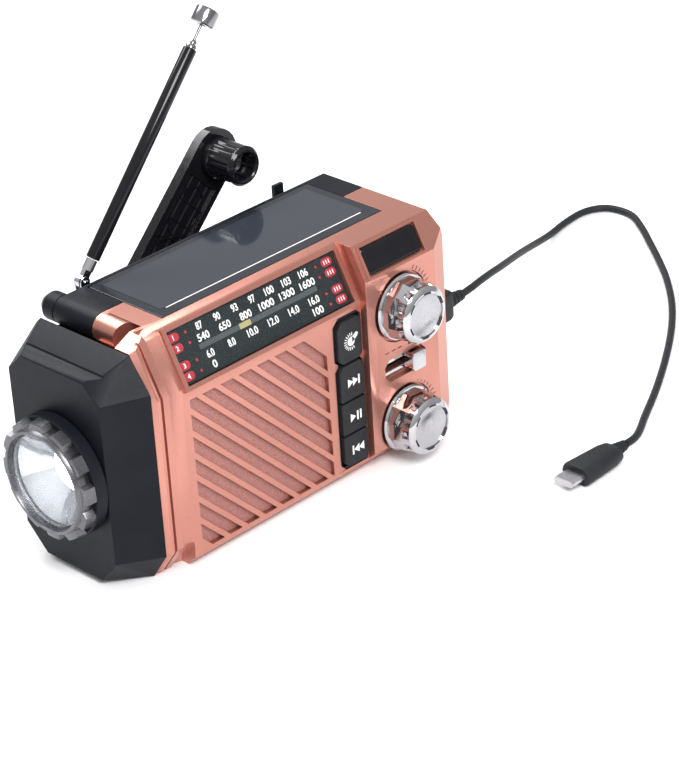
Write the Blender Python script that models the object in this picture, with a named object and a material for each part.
"""Hand-crank emergency radio with a torch, a solar roof, a telescopic antenna and a charging cable.

Shapes are written in millimetres in the casing's own directions: x runs along the front from the seam
between the torch cap and the copper front, y runs back from the speaker face, z runs up from the table.
place() turns such a point into metres about the centre of the flat base.
"""

import math

import bmesh
import bpy
from mathutils import Vector

MM = 0.001
BASE = Vector((64.0, 27.0, 0.0))        # centre of the flat base, the part's origin

# casing
GAP = 0.3                               # air between pieces that touch
WALL = 2.2                              # casing wall
ROOM_X, LEDGE_Z = 17.8, 71.5            # the casing is solid left of and above these, round the barrel
LEFT, RIGHT = 0.3, 135.0                # ends of the front and rear shells
SPLIT_Y = 33.0                          # seam between the front and the rear shell
BACK_Y = 53.5                           # flat rear face
ROOF_Z = 84.0
CHEST_Z = 66.0                          # where the front face starts to lean back
LEAN = Vector((0.0, 8.7, 16.5)).normalized()    # up the leaning face
INWARD = Vector((0.0, LEAN.z, -LEAN.y))         # into the casing, square to the leaning face
BLOCK_X, BLOCK_Y = 93.8, -3.0           # control block: left side and front face
BLOCK_CHEST_Z = 72.5
BEVEL_X = 127.5                         # where the block's right bevel starts
SHOULDER_Z = 74.0                       # casing's right end leans in above this
BOARD_Y = 25.0

# dial window on the leaning face: x range and length up the slope
DIAL_X0, DIAL_X1, DIAL_S = 15.0, 90.6, 18.65
POINTER_X = 45.0
PLATE_X0, PLATE_X1 = 96.5, 123.0        # name plate recess

# left edge of the front shell, in y and z from the base chamfer to the roof, which the ribs follow
RIB_PATH = ((8.7, -2.0), (0.0, 10.2), (0.0, CHEST_Z), (8.7, 82.5), (10.3, ROOF_Z), (14.4, ROOF_Z))

# speaker grille
GRILLE_X0, GRILLE_X1, GRILLE_Z0, GRILLE_Z1 = 15.7, 77.0, 5.5, 61.0
SLOT_PITCH, SLOT_WIDTH = 8.1, 3.9       # vertical pitch, width square to the slot
SHORTEST_SLOT = 4.0                     # shorter ones, at the grille's corners, are left out
GRILLE_SKIN = 1.3                       # the wall is this thin behind the grille
MESH_T = 0.5
SPEAKER_X, SPEAKER_Z, SPEAKER_R = 46.0, 34.5, 26.0

# buttons, from the top one down: (name, top, bottom)
BUTTON_X0, BUTTON_X1 = 81.2, 92.8
BUTTONS = (
    ("lamp", 61.5, 45.4), ("next", 44.9, 31.3), ("play", 30.8, 18.7), ("previous", 18.2, 6.3))

# knobs and mode switch
KNOB_X, TUNING_Z, VOLUME_Z = 110.3, 57.5, 14.7
KNOB_R, KNOB_FACE_R, KNOB_FACE_Y = 12.0, 8.4, -14.7
SWITCH_X0, SWITCH_X1, SWITCH_Z0, SWITCH_Z1 = 101.0, 121.0, 31.2, 39.6
SLIDER_X0, SLIDER_X1 = 112.2, 118.7

# corner barrel and torch
BARREL_X, BARREL_Z, BARREL_R = 10.6, 79.0, 5.0
BARREL_Y0, BARREL_Y1, BARREL_END = 21.5, 52.3, 60.7
BARREL_SLANT = 0.35                     # the barrel's front disc turns this much to the left
POCKET_Y = 16.0                         # front of the pocket the barrel lies in
END_X = -15.0                           # end face of the torch cap
TORCH_Y, TORCH_Z, TORCH_R = 28.3, 38.7, 21.3

# crank: arm at 45 degrees in a plane behind the casing
KNOB_CENTRE = Vector((100.6, 58.6, 95.5))       # centre of the crank knob's rim
ARM_LENGTH, ARM_WIDTH, ARM_T = 66.0, 20.0, 4.0
KNOB_LENGTH = 14.6
HOLLOW_START, HOLLOW_END = 12.0, 56.0           # shallow hollow along the arm's front
HOLLOW_HALF, HOLLOW_DEPTH = 7.4, 1.0
ARM_Y = KNOB_CENTRE.y + KNOB_LENGTH + GAP       # front face of the arm
ALONG = Vector((math.sqrt(0.5), 0.0, math.sqrt(0.5)))
ACROSS = Vector((math.sqrt(0.5), 0.0, -math.sqrt(0.5)))
HUB = KNOB_CENTRE - ALONG * ARM_LENGTH          # crank axis, with y at the knob rim
PIN_Y = ARM_Y + ARM_T / 2
BULGE_R, BULGE_Y = 25.0, 66.0
SHAFT_R = 3.8
TOOTH = 1.0                                     # gear module
DRIVE_TEETH, IDLER_SMALL, IDLER_LARGE, DYNAMO_TEETH = 32, 8, 28, 8
IDLER = Vector((HUB.x - 16.0, 0.0, HUB.z - 12.0))       # 20 mm from the crank axis
DYNAMO = Vector((IDLER.x, 0.0, IDLER.z - 18.0))

# antenna, leaning right in a plane just behind the rear face
PIVOT = Vector((22.0, 56.0, 83.6))
MAST = Vector((65.3, 0.0, 74.6)).normalized()
MAST_LENGTH, SLEEVE_END = 99.0, 84.5
CLIP_X = 115.5

# rear face: case screws (x, z) and the battery door
SCREWS = ((9.0, 14.0), (9.0, 66.0), (124.0, 48.0), (124.0, 66.0))
DOOR_X0, DOOR_X1, DOOR_TOP = 82.0, 124.0, 40.0

# charging port and cable
PORT_Y, PORT_Z = 21.0, 32.4
CORD_R = 1.35
CORD_ROUTE = (
    (166.2, 21.0, 32.4), (172.0, 21.6, 32.6), (178.7, 23.6, 32.0), (188.5, 27.4, 30.0),
    (198.9, 32.2, 27.0), (213.5, 40.2, 21.9), (229.1, 49.2, 16.0), (243.8, 57.4, 10.4),
    (257.9, 64.4, 5.6), (271.0, 69.9, 2.2), (284.0, 73.2, 1.5), (296.0, 73.6, 1.5),
    (304.0, 68.5, 1.5), (305.0, 57.5, 1.5), (298.5, 46.5, 1.5), (290.0, 35.5, 1.5),
    (280.0, 23.0, 1.5), (268.6, 9.8, 1.5), (253.5, -4.8, 1.5), (236.3, -18.2, 1.5),
    (216.4, -31.2, 1.5), (196.5, -42.8, 1.5), (179.5, -51.8, 1.8), (169.5, -57.6, 2.7),
    (163.0, -60.6, 3.4), (157.5, -61.2, 3.6))
CORD_STEP = 6.8                         # spacing of the points along the cord
PLUG_C = Vector((150.8, -61.2, 3.6))    # back of the small plug's body

COLOURS = {                             # base colour, roughness, metallic
    "copper": ((0.72, 0.33, 0.24), 0.35, 0.6),
    "black_plastic": ((0.02, 0.021, 0.025), 0.45, 0.0),
    "black_rubber": ((0.025, 0.025, 0.028), 0.7, 0.0),
    "chrome": ((0.85, 0.85, 0.87), 0.08, 1.0),
    "steel": ((0.55, 0.55, 0.57), 0.3, 1.0),
    "brass": ((0.75, 0.55, 0.25), 0.3, 1.0),
    "dial_print": ((0.05, 0.06, 0.06), 0.5, 0.0),
    "dial_glass": ((0.08, 0.1, 0.1), 0.05, 0.0),
    "solar": ((0.05, 0.06, 0.09), 0.1, 0.0),
    "mesh_cloth": ((0.70, 0.42, 0.38), 0.6, 0.2),
    "board": ((0.03, 0.16, 0.08), 0.5, 0.0),
    "lens": ((0.9, 0.92, 0.95), 0.05, 0.0),
    "pointer": ((0.85, 0.75, 0.35), 0.5, 0.0),
    "white_plastic": ((0.8, 0.8, 0.78), 0.5, 0.0),
}


# ---------------------------------------------------------------- helpers
def place(point):
    """A point in casing millimetres as a point in metres about the base's centre."""
    return (Vector(point) - BASE) * MM


def clear_scene():
    for obj in list(bpy.data.objects):
        bpy.data.objects.remove(obj, do_unlink=True)


def material(name):
    mat = bpy.data.materials.get(name)
    if mat is None:
        colour, roughness, metallic = COLOURS[name]
        mat = bpy.data.materials.new(name)
        mat.use_nodes = True
        shader = mat.node_tree.nodes["Principled BSDF"]
        shader.inputs["Base Color"].default_value = (*colour, 1.0)
        shader.inputs["Roughness"].default_value = roughness
        shader.inputs["Metallic"].default_value = metallic
        mat.diffuse_color = (*colour, 1.0)
    return mat


def make(name, bm, mat, pivot=None, smooth=False):
    """Turn a bmesh in casing millimetres into an object with its origin at pivot."""
    origin = place(pivot) if pivot is not None else Vector((0.0, 0.0, 0.0))
    bmesh.ops.remove_doubles(bm, verts=bm.verts, dist=0.001)
    bmesh.ops.recalc_face_normals(bm, faces=bm.faces)
    for vert in bm.verts:
        vert.co = place(vert.co) - origin
    mesh = bpy.data.meshes.new(name)
    bm.to_mesh(mesh)
    bm.free()
    if smooth:
        mesh.shade_smooth()
        mesh.set_sharp_from_angle(angle=math.radians(35))
    obj = bpy.data.objects.new(name, mesh)
    obj.location = origin
    bpy.context.scene.collection.objects.link(obj)
    mesh.materials.append(material(mat))
    return obj


def prism(bm, axis, outline, low, high):
    """Extrude a 2-D outline along an axis; the outline is (y, z), (x, z) or (x, y)."""
    def corner(pair, level):
        spot = list(pair)
        spot.insert("xyz".index(axis), level)
        return spot
    bottom = [bm.verts.new(corner(pair, low)) for pair in outline]
    top = [bm.verts.new(corner(pair, high)) for pair in outline]
    bm.faces.new(bottom)
    bm.faces.new(reversed(top))
    count = len(outline)
    for i in range(count):
        j = (i + 1) % count
        bm.faces.new((bottom[i], top[i], top[j], bottom[j]))
    return bottom + top


def box(bm, x0, x1, y0, y1, z0, z1):
    return prism(bm, "z", ((x0, y0), (x1, y0), (x1, y1), (x0, y1)), z0, z1)


def slab(bm, base, x0, x1, s0, s1, d0, d1):
    """A box on a leaning face: s runs up the slope from base, d runs into the casing."""
    corners = []
    for s, d in ((s0, d0), (s1, d0), (s1, d1), (s0, d1)):
        spot = base + LEAN * s + INWARD * d
        corners.append((spot.y, spot.z))
    return prism(bm, "x", corners, x0, x1)


def lathe(bm, centre, axis, profile, segments, closed=False):
    """Turn (radius, height) points around an axis through centre; closed makes a ring."""
    axis = Vector(axis).normalized()
    side = axis.orthogonal().normalized()
    other = axis.cross(side)
    rings = []
    for radius, height in profile:
        middle = Vector(centre) + axis * height
        if radius == 0.0:
            rings.append([bm.verts.new(middle)])
            continue
        ring = []
        for i in range(segments):
            turn = 2 * math.pi * i / segments
            ring.append(bm.verts.new(middle + (side * math.cos(turn) + other * math.sin(turn)) * radius))
        rings.append(ring)
    pairs = list(zip(rings, rings[1:]))
    if closed:
        pairs.append((rings[-1], rings[0]))
    for low, high in pairs:
        for i in range(segments):
            j = (i + 1) % segments
            corners = [low[i % len(low)], low[j % len(low)], high[j % len(high)], high[i % len(high)]]
            bm.faces.new(list(dict.fromkeys(corners)))


def rod(bm, start, axis, radius, length, segments=16):
    lathe(bm, start, axis, ((0.0, 0.0), (radius, 0.0), (radius, length), (0.0, length)), segments)


def tube(bm, start, axis, outer, inner, length, segments=14):
    ring = ((outer, 0.0), (outer, length), (inner, length), (inner, 0.0))
    lathe(bm, start, axis, ring, segments, closed=True)


def hull(bm, points):
    verts = [bm.verts.new(point) for point in points]
    result = bmesh.ops.convex_hull(bm, input=verts)
    spare = [item for item in result["geom_interior"] if isinstance(item, bmesh.types.BMVert)]
    bmesh.ops.delete(bm, geom=spare, context="VERTS")


def combine(target, tool_bm, operation):
    """Cut target with, or join to it, the closed bodies of tool_bm."""
    tool = make(target.name + "_tool", tool_bm, "steel")
    tool.hide_render = True
    tool.display_type = "WIRE"
    modifier = target.modifiers.new(operation.lower(), "BOOLEAN")
    modifier.operation = operation
    modifier.solver = "EXACT"
    modifier.object = tool


def cut(target, *shapes):
    """One Boolean difference for each shape, a function that fills a bmesh."""
    for shape in shapes:
        tool_bm = bmesh.new()
        shape(tool_bm)
        combine(target, tool_bm, "DIFFERENCE")


def join(target, *shapes):
    for shape in shapes:
        tool_bm = bmesh.new()
        shape(tool_bm)
        combine(target, tool_bm, "UNION")


def solid(name, mat, fill, pivot=None, smooth=False):
    bm = bmesh.new()
    fill(bm)
    return make(name, bm, mat, pivot, smooth)


def turned(name, mat, centre, axis, profile, segments=24, closed=False, pivot=None):
    def fill(bm):
        lathe(bm, centre, axis, profile, segments, closed)
    return solid(name, mat, fill, pivot, smooth=True)


def lean_point(s, d, base_y=0.0, base_z=CHEST_Z):
    return Vector((0.0, base_y, base_z)) + LEAN * s + INWARD * d


def above(outline, level):
    """The part of an outline of (x, z) points where x + z is at least the level."""
    kept = []
    for i, (x, z) in enumerate(outline):
        last_x, last_z = outline[i - 1]
        before, now = last_x + last_z - level, x + z - level
        if (before < 0) != (now < 0):
            share = before / (before - now)
            kept.append((last_x + (x - last_x) * share, last_z + (z - last_z) * share))
        if now >= 0:
            kept.append((x, z))
    return tuple(kept)


def below(outline, level):
    """The part of an outline where x + z is at most the level."""
    mirrored = above(tuple((-x, -z) for x, z in outline), -level)
    return tuple((-x, -z) for x, z in mirrored)


# ---------------------------------------------------------------- casing
def end_cutters(bm):
    """Wedges that lean the casing's right end in at the roof and at the base."""
    reach = RIGHT + 3
    prism(bm, "y", ((reach, SHOULDER_Z - 7.5), (reach, ROOF_Z + 3), (129.8, ROOF_Z + 3)), -9, 90)
    prism(bm, "y", ((reach, 18.0), (130.5, -2.0), (reach, -2.0)), -9, 90)


def corner_notch(bm):
    """Pocket for the barrel along the top left corner."""
    box(bm, LEFT - 2, BARREL_X, POCKET_Y, 65.0, BARREL_Z - BARREL_R, ROOF_Z + 3)


def barrel_bore(bm):
    """Round side of the pocket, in front of the barrel's disc."""
    rod(bm, (BARREL_X, POCKET_Y, BARREL_Z), (0, 1, 0), BARREL_R + 0.2, SPLIT_Y - POCKET_Y - 2, 20)


def inset(path, depth):
    """The path of (y, z) points moved sideways into the casing, with mitred corners."""
    moved = []
    for i, point in enumerate(path):
        normals = []
        for a, b in ((i - 1, i), (i, i + 1)):
            if a >= 0 and b < len(path):
                run = (Vector(path[b]) - Vector(path[a])).normalized()
                normals.append(Vector((run.y, -run.x)))
        mean = sum(normals, Vector((0.0, 0.0))).normalized()
        moved.append(Vector(point) + mean * depth / mean.dot(normals[0]))
    return moved


def groove(bm, stations):
    """Cutter along the front's left edge; each station is an x and the depth of the cut there."""
    rings = []
    for x, depth in stations:
        loop = [*inset(RIB_PATH, depth), *reversed(inset(RIB_PATH, -2.5))]
        rings.append([bm.verts.new((x, y, z)) for y, z in loop])
    for low, high in zip(rings, rings[1:]):
        for i in range(len(low)):
            j = (i + 1) % len(low)
            bm.faces.new((low[i], high[i], high[j], low[j]))
    for ring in (rings[0], rings[-1]):
        count = len(ring)
        for i in range(count // 2 - 1):
            bm.faces.new((ring[i], ring[i + 1], ring[count - 2 - i], ring[count - 1 - i]))


def solar_recess(bm):
    box(bm, 19.7, 121.3, 14.5, 50.8, 82.3, ROOF_Z + 2)


def front_shell():
    outer = ((SPLIT_Y, 0), (4, 0), (0, 4), (0, CHEST_Z), (8.7, 82.5), (10.3, ROOF_Z), (SPLIT_Y, ROOF_Z))

    def body(bm):
        prism(bm, "x", outer, LEFT, RIGHT)

    def block(bm):
        side = ((20, 0), (5, 0), (BLOCK_Y, 7), (BLOCK_Y, BLOCK_CHEST_Z), (3.1, ROOF_Z), (20, ROOF_Z))
        prism(bm, "x", side, BLOCK_X, RIGHT)

    def dial_frame(bm):
        slab(bm, Vector((0, 0, CHEST_Z)), DIAL_X0 - 1.7, DIAL_X1 + 1.7, -1.5, DIAL_S + 1.5, -1.2, 1.0)

    def plate_frame(bm):
        slab(bm, Vector((0, BLOCK_Y, BLOCK_CHEST_Z)), PLATE_X0 - 1.2, PLATE_X1 + 1.2, 0.2, 12.4, -0.7, 1.0)

    def barrel(bm):
        rod(bm, (BARREL_X, BARREL_Y0, BARREL_Z), (0, 1, 0), BARREL_R, SPLIT_Y - BARREL_Y0, 24)
        for vert in bm.verts:
            if vert.co.y < SPLIT_Y - 1:
                vert.co.y -= BARREL_SLANT * (vert.co.x - BARREL_X)

    def cavity(bm):
        inner = ((40, WALL), (5, WALL), (WALL, 5), (WALL, CHEST_Z - 1), (10.0, 81.9), (13.5, 81.9),
                 (13.8, 80.6), (40, 80.6))
        prism(bm, "x", inner, ROOM_X, 129.0)

    def dial_room(bm):
        inner = ((18, WALL), (5, WALL), (WALL, 5), (WALL, CHEST_Z - 1), (10.0, 81.9), (11.7, 81.9),
                 (11.7, LEDGE_Z), (18, LEDGE_Z))
        prism(bm, "x", inner, 12.7, ROOM_X + 0.5)

    def left_room(bm):
        inner = ((40, WALL), (9.5, WALL), (5.5, 7.5), (5.5, LEDGE_Z), (40, LEDGE_Z))
        prism(bm, "x", inner, 3.0, ROOM_X + 0.5)

    def bottom_chamfer(bm):
        prism(bm, "x", ((-1, 11.6), (-1, -1), (8, -1)), -1, 12.0)

    def left_slope(bm):
        """Carries the torch cap's sloping top on across the shell's corner."""
        prism(bm, "y", ((-1, 80.3), (7.1, 84.1), (7.1, 90), (-1, 90)), -1, POCKET_Y + 1)

    def right_bevel(bm):
        prism(bm, "z", ((BEVEL_X, BLOCK_Y - 1e-3), (BEVEL_X, -9), (143.0, -9), (143.0, 3.2)), -2, 90)

    def left_rib(bm):
        groove(bm, ((-1.0, 1.8), (0.3, 1.2), (2.4, 0.0), (2.8, -0.2)))

    def thin_groove(bm):
        groove(bm, ((3.5, -0.2), (3.7, 1.1), (4.5, 1.1), (4.7, -0.2)))

    def right_rib(bm):
        groove(bm, ((7.3, -0.2), (7.5, 1.6), (11.6, 0.0), (12.1, -0.2)))

    def grille_room(bm):
        box(bm, GRILLE_X0 - 1.5, GRILLE_X1 + 1.5, GRILLE_SKIN, WALL + 1, GRILLE_Z0 - 0.3, GRILLE_Z1 + 1.5)

    def slots(bm):
        """Bands at 45 degrees down to the right, each cut off by the grille's own rectangle."""
        area = ((GRILLE_X0, GRILLE_Z0), (GRILLE_X1, GRILLE_Z0), (GRILLE_X1, GRILLE_Z1), (GRILLE_X0, GRILLE_Z1))
        half = SLOT_WIDTH / 2 * math.sqrt(2)
        rows = int((GRILLE_Z1 - GRILLE_Z0) / SLOT_PITCH) + 1
        columns = int((GRILLE_X1 - GRILLE_X0) / SLOT_PITCH) + 1
        lowest, highest = GRILLE_X0 + GRILLE_Z0, GRILLE_X1 + GRILLE_Z1
        for i in range(-rows, columns):
            middle = GRILLE_X0 + GRILLE_Z1 + SLOT_PITCH * i
            if min(middle - lowest, highest - middle) < SHORTEST_SLOT + half:
                continue
            outline = below(above(area, middle - half), middle + half)
            prism(bm, "y", outline, -2, WALL + 2)

    def windows(bm):
        slab(bm, Vector((0, 0, CHEST_Z)), DIAL_X0, DIAL_X1, 0, DIAL_S, -4, 3.2)
        slab(bm, Vector((0, BLOCK_Y, BLOCK_CHEST_Z)), PLATE_X0, PLATE_X1, 1.1, 11.6, -3, 1.2)
        box(bm, BUTTON_X0 - 0.9, BUTTON_X1 + 0.8, -8, WALL + 2, 5.0, 62.8)

    def controls(bm):
        for z in (TUNING_Z, VOLUME_Z):
            rod(bm, (KNOB_X, -12, z), (0, 1, 0), KNOB_R + 0.8, 10.5, 28)
        tip = 2.2
        outline = ((SWITCH_X0, SWITCH_Z0 + tip), (SWITCH_X0 + tip, SWITCH_Z0), (SWITCH_X1 - tip, SWITCH_Z0),
                   (SWITCH_X1, SWITCH_Z0 + tip), (SWITCH_X1, SWITCH_Z1 - tip), (SWITCH_X1 - tip, SWITCH_Z1),
                   (SWITCH_X0 + tip, SWITCH_Z1), (SWITCH_X0, SWITCH_Z1 - tip))
        prism(bm, "y", outline, -8, -0.6)

    def control_slots(bm):
        middle = (SWITCH_Z0 + SWITCH_Z1) / 2
        box(bm, 102.8, 118.9, -2, WALL + 2, middle - 1.4, middle + 1.4)
        for z in (TUNING_Z, VOLUME_Z):
            rod(bm, (KNOB_X, -6, z), (0, 1, 0), 3.4, 12, 12)

    def port(bm):
        box(bm, 127, 140, PORT_Y - 3.7, PORT_Y + 3.7, PORT_Z - 7.5, PORT_Z + 7.5)

    shell = solid("front_shell", "copper", body)
    join(shell, block, dial_frame, plate_frame)
    cut(shell, corner_notch, barrel_bore)
    join(shell, barrel)
    cut(shell, cavity, dial_room, left_room, bottom_chamfer, right_bevel, end_cutters)
    cut(shell, left_slope, left_rib, thin_groove, right_rib)
    cut(shell, grille_room, slots, windows, controls, control_slots, solar_recess, port)


def rear_shell():
    start = SPLIT_Y + GAP
    outer = ((start, 0), (46, 0), (BACK_Y, 7.5), (BACK_Y, 82.5), (52.2, ROOF_Z), (start, ROOF_Z))

    def body(bm):
        prism(bm, "x", outer, LEFT, RIGHT)

    def bulge(bm):
        profile = ((0, 0), (BULGE_R, 0), (BULGE_R, 14.5), (BULGE_R - 2, 16.5), (0, 16.5))
        lathe(bm, (HUB.x, BULGE_Y - 16.5, HUB.z), (0, 1, 0), profile, 32)

    def barrel(bm):
        rod(bm, (BARREL_X, start, BARREL_Z), (0, 1, 0), BARREL_R, BARREL_Y1 - start, 24)

    def clip(bm):
        hook = ((BACK_Y - 1, 72.0), (BACK_Y - 1, 79.6), (58.9, 79.6), (58.9, 83.4), (60.4, 83.4), (60.4, 77.2))
        prism(bm, "x", hook, CLIP_X - 2.2, CLIP_X + 2.2)

    def antenna_bracket(bm):
        hull(bm, [(x, y, z) for x in (16.5, 27.5) for y, z in (
            (BACK_Y - 1, 62.0), (BACK_Y - 1, 74.5), (59.6, 74.5), (59.6, 69.5))])

    def cavity(bm):
        inner = ((25, WALL), (45, WALL), (BACK_Y - WALL, 8.5), (BACK_Y - WALL, 80.6), (25, 80.6))
        prism(bm, "x", inner, ROOM_X, 129.0)

    def left_room(bm):
        inner = ((25, WALL), (45, WALL), (BACK_Y - WALL, 8.5), (BACK_Y - WALL, LEDGE_Z), (25, LEDGE_Z))
        prism(bm, "x", inner, 3.0, ROOM_X + 0.5)

    def bulge_cavity(bm):
        rod(bm, (HUB.x, BACK_Y - 4, HUB.z), (0, 1, 0), BULGE_R - WALL, BULGE_Y - BACK_Y + 4 - WALL, 28)

    def holes(bm):
        rod(bm, (HUB.x, BULGE_Y - 5, HUB.z), (0, 1, 0), 4.3, 10, 16)
        box(bm, DOOR_X0 - 0.4, DOOR_X1 + 0.4, BACK_Y - 1.3, BACK_Y + 3, -3, DOOR_TOP + 0.4)
        rod(bm, (PIVOT.x, PIVOT.y, 66), (0, 0, 1), 1.6, 12, 12)
        rod(bm, (BARREL_X, BARREL_Y1, BARREL_Z), (0, 1, 0), BARREL_R + GAP, 8, 24)
        for x, z in SCREWS:
            rod(bm, (x, BACK_Y - 1.3, z), (0, 1, 0), 2.9, 4, 14)

    def inner_holes(bm):
        box(bm, DOOR_X0 + 3, DOOR_X1 - 3, BACK_Y - 6, BACK_Y + 1, 11.5, DOOR_TOP - 4)
        for x, z in SCREWS:
            rod(bm, (x, BACK_Y - 6, z), (0, 1, 0), 1.5, 8, 10)

    shell = solid("rear_shell", "black_plastic", body)
    cut(shell, corner_notch)
    join(shell, bulge, barrel, clip, antenna_bracket)
    cut(shell, cavity, left_room, bulge_cavity, end_cutters, solar_recess, holes, inner_holes)


def case_screws():
    for number, (x, z) in enumerate(SCREWS, 1):
        profile = ((0, 0), (1.1, 0), (1.1, 7), (2.5, 7), (2.5, 8), (0, 8))
        turned(f"case_screw_{number}", "steel", (x, BACK_Y - 8.2, z), (0, 1, 0), profile, 10)


def barrel_cap():
    length = BARREL_END - BARREL_Y1 - GAP
    profile = ((0, 0), (BARREL_R, 0), (BARREL_R, length - 3), (BARREL_R - 0.9, length - 1.8),
               (BARREL_R - 2.2, length), (0, length))
    turned("barrel_cap", "black_plastic", (BARREL_X, BARREL_Y1 + GAP, BARREL_Z), (0, 1, 0), profile, 24)


def solar_roof():
    def panel(bm):
        box(bm, 20.0, 121.0, 14.8, 50.5, 82.6, 84.2)

    solid("solar_panel", "solar", panel)


def battery_bay():
    def door_plate(bm):
        box(bm, DOOR_X0, DOOR_X1, BACK_Y - 1.0, BACK_Y, 8.2, DOOR_TOP)

    def grips(bm):
        for i in range(3):
            z = 13.0 + 3 * i
            box(bm, 95, 111, BACK_Y - 0.5, BACK_Y + 0.7, z, z + 1.2)

    plate = solid("battery_door", "black_plastic", door_plate, (103, BACK_Y, 24))
    join(plate, grips)
    profile = ((0, 0), (8.8, 0), (9.0, 0.4), (9.0, 64.6), (8.8, 65), (3, 65), (3, 66), (0, 66))
    turned("battery_cell", "white_plastic", (58.5, 41.6, 12.4), (1, 0, 0), profile, 20)


# ---------------------------------------------------------------- torch end
def torch_housing():
    end_face = ((8, 11), (8, 68.5), (15, 75), (45, 75), (52, 68.5), (52, 11), (43, 2), (16, 2))
    seam = ((7.1, 0), (0, 10.1), (0, 69.2), (8.9, 81.2), (11, 82), (50, 82), (BACK_Y, 79), (BACK_Y, 8), (46, 0))
    torch = (END_X, TORCH_Y, TORCH_Z)

    def body(bm):
        hull(bm, [(END_X, y, z) for y, z in end_face] + [(0, y, z) for y, z in seam])

    def trim(bm):
        """Takes the top of the cap down to a ledge beside the barrel."""
        slope = ((-30, 95), (-30, 75.2), (-9.3, 75.8), (-9.3, 76.4), (3, 82.2), (3, 95))
        prism(bm, "y", slope, -5, 90)

    def cavity(bm):
        deep = ((10.5, 14), (10.5, 63.5), (17, 70.5), (43, 70.5), (49, 63.5), (49, 14), (42, 6), (17, 6))
        wide = ((3.5, 13), (3.5, 66), (12, 75), (44, 75), (49, 66), (49, 13), (43, 4.5), (12, 4.5))
        hull(bm, [(END_X + 2.4, y, z) for y, z in deep] + [(1, y, z) for y, z in wide])

    def opening(bm):
        rod(bm, (END_X - 2, TORCH_Y, TORCH_Z), (1, 0, 0), 17.0, 8, 28)

    housing = solid("torch_housing", "black_plastic", body)
    cut(housing, trim, cavity, opening)

    ring = ((16.6, 0.3), (TORCH_R, 0.3), (TORCH_R, 8.0), (TORCH_R - 1.6, 10.3), (16.6, 10.3))
    turned("torch_bezel", "steel", torch, (-1, 0, 0), ring, 32, closed=True)
    turned("torch_lens", "lens", torch, (-1, 0, 0), ((0, 7.0), (16.2, 7.0), (16.2, 8.2), (0, 8.6)), 28)
    bowl = ((16.2, 6.6), (15.2, 6.6), (10.5, 0.0), (2.8, -8.2), (2.8, -9.4), (4.2, -9.4), (16.2, 5.4))
    turned("torch_reflector", "chrome", torch, (-1, 0, 0), bowl, 28, closed=True)
    led = ((0, -9.7), (2.3, -9.7), (2.3, -7.4), (1.6, -6.2), (0, -5.8))
    turned("torch_led", "lens", torch, (-1, 0, 0), led, 14)
    board = ((0, -11.6), (10, -11.6), (10, -10.0), (0, -10.0))
    turned("led_board", "board", torch, (-1, 0, 0), board, 20)


# ---------------------------------------------------------------- front controls and dial
def dial():
    base = Vector((0, 0, CHEST_Z))

    def lens(bm):
        slab(bm, base, DIAL_X0 + 0.3, DIAL_X1 - 0.3, 0.3, DIAL_S - 0.3, 0.0, 1.2)

    def plate(bm):
        slab(bm, base, DIAL_X0 - 1.2, DIAL_X1 + 1.0, 0.1, 18.5, 2.6, 3.2)

    def pointer(bm):
        slab(bm, base, POINTER_X - 0.5, POINTER_X + 0.5, 1.2, 17.4, 1.6, 2.1)

    solid("dial_lens", "dial_glass", lens)
    solid("dial_plate", "dial_print", plate)
    solid("dial_pointer", "pointer", pointer, (POINTER_X, lean_point(9, 1.9).y, lean_point(9, 1.9).z))


def name_plate():
    def plate(bm):
        base = Vector((0, BLOCK_Y, BLOCK_CHEST_Z))
        slab(bm, base, PLATE_X0 + 0.4, PLATE_X1 - 0.4, 1.5, 11.2, -0.2, 0.9)
    solid("name_plate", "black_plastic", plate)


def speaker():
    def mesh(bm):
        front = GRILLE_SKIN + GAP
        box(bm, GRILLE_X0 - 1.2, GRILLE_X1 + 1.2, front, front + MESH_T, GRILLE_Z0, GRILLE_Z1 + 1.2)
    solid("speaker_mesh", "mesh_cloth", mesh)
    profile = ((0, 8.5), (8, 9.5), (9, 11.5), (22.5, 4.6), (22.5, 3.4), (SPEAKER_R, 3.4), (SPEAKER_R, 5.4),
               (23, 5.8), (15.5, 14.5), (15.5, 22), (0, 22))
    turned("speaker_driver", "steel", (SPEAKER_X, 0, SPEAKER_Z), (0, 1, 0), profile, 24)


def buttons():
    def bezel(bm):
        box(bm, BUTTON_X0 - 0.6, BUTTON_X1 + 0.5, 0.3, 1.9, 5.3, 62.5)

    def holes(bm):
        for _, top, bottom in BUTTONS:
            box(bm, BUTTON_X0 - 0.2, BUTTON_X1 + 0.2, -2, 4, bottom - 0.15, top + 0.15)

    frame = solid("button_bezel", "black_plastic", bezel)
    cut(frame, holes)
    middle = (BUTTON_X0 + BUTTON_X1) / 2
    for name, top, bottom in BUTTONS:
        centre_z = (top + bottom) / 2

        def cap(bm):
            box(bm, BUTTON_X0 + 0.1, BUTTON_X1 - 0.1, -1.3, 2.6, bottom + 0.15, top - 0.15)

        def stem(bm):
            rod(bm, (middle, 2.0, centre_z), (0, 1, 0), 2.0, 2.4, 10)

        button = solid(f"button_{name}", "black_rubber", cap, (middle, -1.3, centre_z))
        join(button, stem)

    def board(bm):
        box(bm, 81.0, 94.5, 6.0, 7.4, 6.0, 62.0)
    solid("key_board", "board", board)


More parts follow.
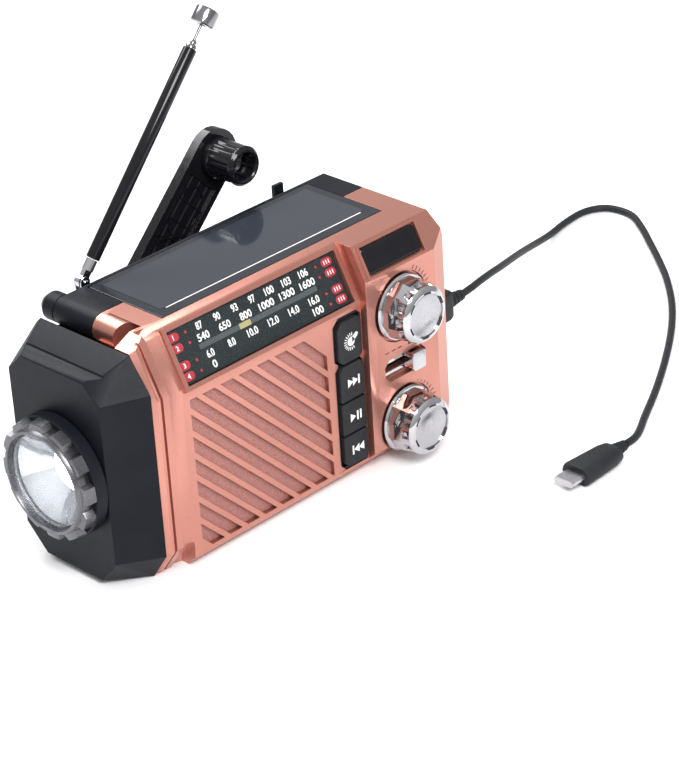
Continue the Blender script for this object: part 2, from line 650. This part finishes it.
def knob(name, shaft_name, body_name, z, body_r):
    centre = (KNOB_X, 0, z)
    front = -KNOB_FACE_Y
    profile = ((0, 1.9), (11.2, 1.9), (KNOB_R, 2.6), (KNOB_R, 4.4), (KNOB_R - 0.9, 5.2),
               (KNOB_FACE_R + 1.2, front - 1.6), (KNOB_FACE_R, front), (0, front))
    turned(name, "chrome", centre, (0, -1, 0), profile, 24, pivot=(KNOB_X, -1.9, z))
    shaft = ((0, -11.0), (3.0, -11.0), (3.0, 1.6), (0, 1.6))
    turned(shaft_name, "steel", centre, (0, -1, 0), shaft, 14, pivot=centre)
    body = ((0, 11.3), (body_r, 11.3), (body_r, 21.0), (0, 21.0))
    turned(body_name, "steel", centre, (0, 1, 0), body, 20)


def mode_switch():
    middle = (SWITCH_Z0 + SWITCH_Z1) / 2

    def cap(bm):
        box(bm, SLIDER_X0, SLIDER_X1, -5.4, -0.9, SWITCH_Z0 + 0.5, SWITCH_Z1 - 0.5)

    def stem(bm):
        box(bm, 113.8, 117.2, -1.5, 5.0, middle - 1.1, middle + 1.1)

    def body(bm):
        box(bm, 100.0, 121.5, 5.4, 11.0, middle - 3.5, middle + 3.5)

    slider = solid("mode_slider", "copper", cap, (115.5, -3, middle))
    join(slider, stem)
    solid("mode_switch_body", "steel", body)


def main_board():
    def board(bm):
        box(bm, 9.0, 126.0, BOARD_Y, BOARD_Y + 1.6, 5.0, 70.5)
    solid("main_board", "board", board)


# ---------------------------------------------------------------- crank and dynamo
def gear(bm, centre_x, centre_z, teeth, bore, y0, y1, phase):
    """A spur gear along Y with narrow straight-sided teeth, which leaves clearance in mesh."""
    pitch_r = TOOTH * teeth / 2
    outline = []
    for i in range(teeth):
        for share, radius in ((-0.22, -0.95), (-0.12, 0.75), (0.12, 0.75), (0.22, -0.95)):
            turn = 2 * math.pi * (i + share + phase) / teeth
            length = pitch_r + radius * TOOTH
            outline.append((centre_x + length * math.cos(turn), centre_z + length * math.sin(turn)))
    if bore == 0:
        prism(bm, "y", outline, y0, y1)
        return
    rings = []
    for y in (y0, y1):
        rings.append([bm.verts.new((x, y, z)) for x, z in outline])
    inner = []
    for y in (y0, y1):
        loop = []
        for x, z in outline:
            turn = math.atan2(z - centre_z, x - centre_x)
            loop.append(bm.verts.new((centre_x + bore * math.cos(turn), y, centre_z + bore * math.sin(turn))))
        inner.append(loop)
    count = len(outline)
    for i in range(count):
        j = (i + 1) % count
        bm.faces.new((rings[0][i], rings[0][j], rings[1][j], rings[1][i]))
        bm.faces.new((inner[0][i], inner[1][i], inner[1][j], inner[0][j]))
        bm.faces.new((rings[0][i], inner[0][i], inner[0][j], rings[0][j]))
        bm.faces.new((rings[1][i], rings[1][j], inner[1][j], inner[1][i]))


def mesh_phase(from_centre, to_centre, teeth, own_phase, own_teeth):
    """Phase that puts a gap of the second gear where a tooth of the first points at it."""
    toward = math.atan2(to_centre.z - from_centre.z, to_centre.x - from_centre.x)
    tooth_share = (toward / (2 * math.pi) * own_teeth - own_phase) % 1.0
    back = toward + math.pi
    return (back / (2 * math.pi) * teeth + tooth_share + 0.5) % 1.0


def gear_train():
    hub = Vector((HUB.x, 0, HUB.z))
    small_phase = mesh_phase(hub, IDLER, IDLER_SMALL, 0.0, DRIVE_TEETH)
    dynamo_phase = mesh_phase(IDLER, DYNAMO, DYNAMO_TEETH, 0.0, IDLER_LARGE)

    def drive(bm):
        gear(bm, HUB.x, HUB.z, DRIVE_TEETH, SHAFT_R + GAP, 46.0, 50.0, 0.0)

    def wheel(bm):
        gear(bm, IDLER.x, IDLER.z, IDLER_LARGE, 0, 40.5, 44.6, 0.0)

    def pinion(bm):
        gear(bm, IDLER.x, IDLER.z, IDLER_SMALL, 0, 44.0, 50.3, small_phase)

    def axle(bm):
        rod(bm, (IDLER.x, 36.0, IDLER.z), (0, 1, 0), 1.5, 5.5, 10)

    def dynamo_pinion(bm):
        gear(bm, DYNAMO.x, DYNAMO.z, DYNAMO_TEETH, 0, 40.2, 45.4, dynamo_phase)

    def rotor(bm):
        rod(bm, (DYNAMO.x, 35.4, DYNAMO.z), (0, 1, 0), 1.5, 6.0, 10)

    solid("drive_gear", "white_plastic", drive, (HUB.x, 48.0, HUB.z))
    idler = solid("idler_gear", "white_plastic", wheel, (IDLER.x, 42.0, IDLER.z))
    join(idler, pinion, axle)
    pinion_piece = solid("dynamo_pinion", "brass", dynamo_pinion, (DYNAMO.x, 42.0, DYNAMO.z))
    join(pinion_piece, rotor)


def gear_plate():
    def plate(bm):
        box(bm, 24.0, 57.0, 37.6, 39.4, 7.0, 66.0)

    def holes(bm):
        rod(bm, (IDLER.x, 35, IDLER.z), (0, 1, 0), 2.0, 8, 12)
        rod(bm, (DYNAMO.x, 35, DYNAMO.z), (0, 1, 0), 2.4, 8, 12)
        rod(bm, (HUB.x, 35, HUB.z), (0, 1, 0), 5.0, 8, 12)

    frame = solid("gear_plate", "steel", plate)
    cut(frame, holes)
    motor = ((0, 0), (11.5, 0), (11.5, 7.6), (0, 7.6))
    turned("dynamo_motor", "steel", (DYNAMO.x, 27.2, DYNAMO.z), (0, 1, 0), motor, 20)


def crank():
    axis_point = (HUB.x, PIN_Y, HUB.z)
    at_hub = Vector(axis_point)
    hub_y = BULGE_Y + 0.6

    def arm_point(along, y, across):
        spot = at_hub + ALONG * along + ACROSS * across
        return (spot.x, y, spot.z)

    shaft = ((0, 38.0), (SHAFT_R, 38.0), (SHAFT_R, hub_y - 0.3), (0, hub_y - 0.3))
    turned("crank_shaft", "steel", (HUB.x, 0, HUB.z), (0, 1, 0), shaft, 16, pivot=axis_point)
    bush = ((4.2, 51.8), (4.2, 60.6), (7.0, 60.6), (7.0, 51.8))
    turned("crank_bush", "brass", (HUB.x, 0, HUB.z), (0, 1, 0), bush, 16, closed=True)

    def disc(bm):
        profile = ((0, hub_y), (9.5, hub_y), (9.5, hub_y + 3.4), (0, hub_y + 3.4))
        lathe(bm, (HUB.x, 0, HUB.z), (0, 1, 0), profile, 24)

    def tongue(bm):
        points = []
        for across in (-3.4, 3.4):
            for step in range(9):
                turn = math.pi * step / 8
                points.append(arm_point(2.4 * math.cos(turn), PIN_Y + 2.0 * math.sin(turn), across))
            points.append(arm_point(-3.6, hub_y + 2, across))
            points.append(arm_point(3.6, hub_y + 2, across))
        hull(bm, points)

    def pin_hole(bm):
        rod(bm, arm_point(0, PIN_Y, -14), ACROSS, 1.3, 28, 12)

    hub = solid("crank_hub", "black_plastic", disc, axis_point)
    join(hub, tongue)
    cut(hub, pin_hole)

    def pin(bm):
        rod(bm, arm_point(0, PIN_Y, -9.5), ACROSS, 1.0, 19, 10)
    solid("crank_pin", "steel", pin, axis_point)

    def bar(bm):
        outline = [(-2.2, -ARM_WIDTH / 2), (-2.2, ARM_WIDTH / 2)]
        for step in range(13):
            turn = math.pi / 2 - math.pi * step / 12
            outline.append((ARM_LENGTH + ARM_WIDTH / 2 * math.cos(turn), ARM_WIDTH / 2 * math.sin(turn)))
        low = [bm.verts.new(arm_point(a, ARM_Y, c)) for a, c in outline]
        high = [bm.verts.new(arm_point(a, ARM_Y + ARM_T, c)) for a, c in outline]
        bm.faces.new(low)
        bm.faces.new(reversed(high))
        for i in range(len(outline)):
            j = (i + 1) % len(outline)
            bm.faces.new((low[i], high[i], high[j], low[j]))

    def fork_slot(bm):
        corners = [arm_point(a, y, c) for a in (-6, 4.5) for y in (ARM_Y - 3, ARM_Y + ARM_T + 3)
                   for c in (-3.8, 3.8)]
        hull(bm, corners)

    def pocket(bm):
        """Shallow hollow in the front of the arm, between its rims."""
        hull(bm, [arm_point(a, y, c) for a in (HOLLOW_START, HOLLOW_END)
                  for y in (ARM_Y - 2, ARM_Y + HOLLOW_DEPTH) for c in (-HOLLOW_HALF, HOLLOW_HALF)])

    def screw_hole(bm):
        rod(bm, arm_point(ARM_LENGTH, ARM_Y - 3, 0), (0, 1, 0), 2.2, 6, 12)

    arm = solid("crank_arm", "black_plastic", bar, axis_point)
    cut(arm, fork_slot, pin_hole, pocket, screw_hole)

    knob_axis = (KNOB_CENTRE.x, KNOB_CENTRE.y, KNOB_CENTRE.z)
    end = KNOB_LENGTH
    profile = ((7.0, 0.8), (6.4, 0), (5.2, 0), (4.8, 0.6), (4.8, 9.0), (2.2, 9.0), (2.2, end), (7.4, end))
    turned("crank_knob", "black_plastic", knob_axis, (0, 1, 0), profile, 24, closed=True, pivot=knob_axis)
    screw = ((0, 6.2), (3.8, 6.2), (3.8, 8.6), (1.9, 8.6), (1.9, end + 2.2), (0, end + 2.2))
    turned("knob_screw", "steel", knob_axis, (0, 1, 0), screw, 14, pivot=knob_axis)


# ---------------------------------------------------------------- antenna
def antenna():
    post_z = 75.0

    def post(bm):
        rod(bm, (PIVOT.x, PIVOT.y, 66.5), (0, 0, 1), 1.2, 9, 10)

    def turret(bm):
        rod(bm, (PIVOT.x, PIVOT.y, post_z), (0, 0, 1), 2.3, 4.6, 16)

    def ears(bm):
        points = []
        for y in (PIVOT.y - 1.8, PIVOT.y + 1.8):
            for step in range(9):
                turn = math.pi * step / 8
                points.append((PIVOT.x + 2.0 * math.cos(turn), y, PIVOT.z + 2.0 * math.sin(turn)))
            points.append((PIVOT.x - 1.6, y, 79.0))
            points.append((PIVOT.x + 1.6, y, 79.0))
        hull(bm, points)

    def slot(bm):
        box(bm, PIVOT.x - 5, PIVOT.x + 5, PIVOT.y - 1.2, PIVOT.y + 1.2, 80.6, 90)

    def bore(bm):
        rod(bm, (PIVOT.x, PIVOT.y - 4, PIVOT.z), (0, 1, 0), 1.1, 8, 10)

    swivel = solid("antenna_swivel", "chrome", turret, PIVOT, smooth=True)
    join(swivel, ears, post)
    cut(swivel, slot, bore)

    def rivet(bm):
        rod(bm, (PIVOT.x, PIVOT.y - 2.35, PIVOT.z), (0, 1, 0), 0.8, 4.7, 10)
    solid("antenna_rivet", "chrome", rivet, PIVOT)

    def eye(bm):
        rod(bm, (PIVOT.x, PIVOT.y - 0.9, PIVOT.z), (0, 1, 0), 2.2, 1.8, 16)

    def neck(bm):
        side = MAST.cross(Vector((0, 1, 0)))
        points = []
        for t in (0.0, 5.2):
            for across in (-1.5, 1.5):
                for y in (-0.9, 0.9):
                    points.append(PIVOT + MAST * t + side * across + Vector((0, y, 0)))
        hull(bm, points)

    def root_plug(bm):
        rod(bm, PIVOT + MAST * 3.9, MAST, 2.0, 4.0, 14)

    root = solid("antenna_root", "chrome", eye, PIVOT, smooth=True)
    join(root, neck, root_plug)
    cut(root, bore)

    start = 8.2
    sleeve = PIVOT + MAST * start
    reach = SLEEVE_END - start

    def outer(bm):
        ring = ((2.4, 0), (2.4, reach), (2.05, reach), (2.05, 0))
        lathe(bm, sleeve, MAST, ring, 16, closed=True)

    def section(bm, outer_r, inner_r, begin, end):
        tube(bm, PIVOT + MAST * begin, MAST, outer_r, inner_r, end - begin, 12)

    solid("antenna_sleeve", "black_plastic", outer, PIVOT, smooth=True)
    solid("antenna_section_1", "chrome", lambda bm: section(bm, 1.75, 1.4, 9.0, 86.0), PIVOT, smooth=True)
    solid("antenna_section_2", "chrome", lambda bm: section(bm, 1.1, 0.8, 9.6, 87.6), PIVOT, smooth=True)
    tip = ((0, 13.6), (0.5, 13.6), (0.5, MAST_LENGTH - 6.0), (3.9, MAST_LENGTH - 6.0), (4.1, MAST_LENGTH - 5.6),
           (4.1, MAST_LENGTH - 0.5), (3.7, MAST_LENGTH), (0, MAST_LENGTH))
    turned("antenna_tip", "chrome", PIVOT, MAST, tip, 16, pivot=PIVOT)


# ---------------------------------------------------------------- charging port and cable
def charging_port():
    def shell(bm):
        box(bm, 121.0, 133.6, PORT_Y - 3.3, PORT_Y + 3.3, PORT_Z - 7.1, PORT_Z + 7.1)

    def mouth(bm):
        box(bm, 122.5, 140, PORT_Y - 2.6, PORT_Y + 2.6, PORT_Z - 6.4, PORT_Z + 6.4)

    socket = solid("usb_socket", "steel", shell)
    cut(socket, mouth)

    def grip(bm):
        half_y, half_z, chamfer = 4.0, 6.2, 1.4
        outline = ((-half_y, -half_z + chamfer), (-half_y + chamfer, -half_z), (half_y - chamfer, -half_z),
                   (half_y, -half_z + chamfer), (half_y, half_z - chamfer), (half_y - chamfer, half_z),
                   (-half_y + chamfer, half_z), (-half_y, half_z - chamfer))
        prism(bm, "x", [(PORT_Y + y, PORT_Z + z) for y, z in outline], 135.5, 157.6)

    def tongue(bm):
        box(bm, 124.0, 137.0, PORT_Y - 2.2, PORT_Y + 2.2, PORT_Z - 6.0, PORT_Z + 6.0)

    def relief(bm):
        profile = ((0, 0), (3.1, 0), (2.0, 9.0), (0, 9.0))
        lathe(bm, (156.9, PORT_Y, PORT_Z), (1, 0, 0), profile, 14)

    plug = solid("usb_plug_a", "black_rubber", grip)
    join(plug, tongue, relief)


def cord_points():
    """The route's smooth curve, read at even steps."""
    route = [Vector(point) for point in CORD_ROUTE]
    dense = []
    for i in range(len(route) - 1):
        before = route[max(i - 1, 0)]
        after = route[min(i + 2, len(route) - 1)]
        for step in range(20):
            t = step / 20
            a, b = route[i], route[i + 1]
            spot = 0.5 * (2 * a + (b - before) * t + (2 * before - 5 * a + 4 * b - after) * t ** 2
                          + (3 * a - before - 3 * b + after) * t ** 3)
            dense.append(spot)
    dense.append(route[-1])
    total = sum((q - p).length for p, q in zip(dense, dense[1:]))
    count = round(total / CORD_STEP)
    points, walked, target = [dense[0]], 0.0, total / count
    for p, q in zip(dense, dense[1:]):
        length = (q - p).length
        while walked + length >= target and len(points) < count:
            points.append(p.lerp(q, (target - walked) / length))
            target += total / count
        walked += length
    points.append(dense[-1])
    return points


def charging_cord():
    curve = bpy.data.curves.new("usb_cord", "CURVE")
    curve.dimensions = "3D"
    curve.bevel_depth = CORD_R * MM
    curve.bevel_resolution = 2
    curve.use_fill_caps = True
    spline = curve.splines.new("POLY")
    points = cord_points()
    spline.points.add(len(points) - 1)
    for slot, spot in zip(spline.points, points):
        slot.co = (*place(spot), 1.0)
    curve.materials.append(material("black_rubber"))
    cord = bpy.data.objects.new("usb_cord", curve)
    bpy.context.scene.collection.objects.link(cord)


def small_plug():
    def grip(bm):
        points = []
        for x, half_y, half_z in ((PLUG_C.x, 4.7, 2.9), (PLUG_C.x - 3, 5.3, 3.3), (PLUG_C.x - 20, 6.2, 3.4)):
            for side in (-1, 1):
                for step in range(7):
                    turn = math.radians(-90 + 30 * step)
                    y = side * (half_y - half_z + half_z * math.cos(turn))
                    points.append((x, PLUG_C.y + y, PLUG_C.z + half_z * math.sin(turn)))
        hull(bm, points)

    def tip(bm):
        outline = []
        for side in (1, -1):
            for step in range(7):
                turn = math.radians(-90 + 30 * step)
                outline.append((PLUG_C.y + side * (2.9 + 1.2 * math.cos(turn)),
                                PLUG_C.z + side * 1.2 * math.sin(turn)))
        prism(bm, "x", outline, PLUG_C.x - 26.5, PLUG_C.x - 18)

    def relief(bm):
        profile = ((0, 0), (2.8, 0), (1.9, 7.2), (0, 7.2))
        lathe(bm, (PLUG_C.x - 1.0, PLUG_C.y, PLUG_C.z), (1, 0, 0), profile, 14)

    plug = solid("usb_plug_c", "black_rubber", grip, smooth=True)
    join(plug, tip, relief)


def main():
    clear_scene()
    front_shell()
    rear_shell()
    case_screws()
    barrel_cap()
    solar_roof()
    battery_bay()
    torch_housing()
    dial()
    name_plate()
    speaker()
    buttons()
    knob("tuning_knob", "tuning_shaft", "tuning_capacitor", TUNING_Z, 10.5)
    knob("volume_knob", "volume_shaft", "volume_control", VOLUME_Z, 8.5)
    mode_switch()
    main_board()
    gear_train()
    gear_plate()
    crank()
    antenna()
    charging_port()
    charging_cord()
    small_plug()


main()
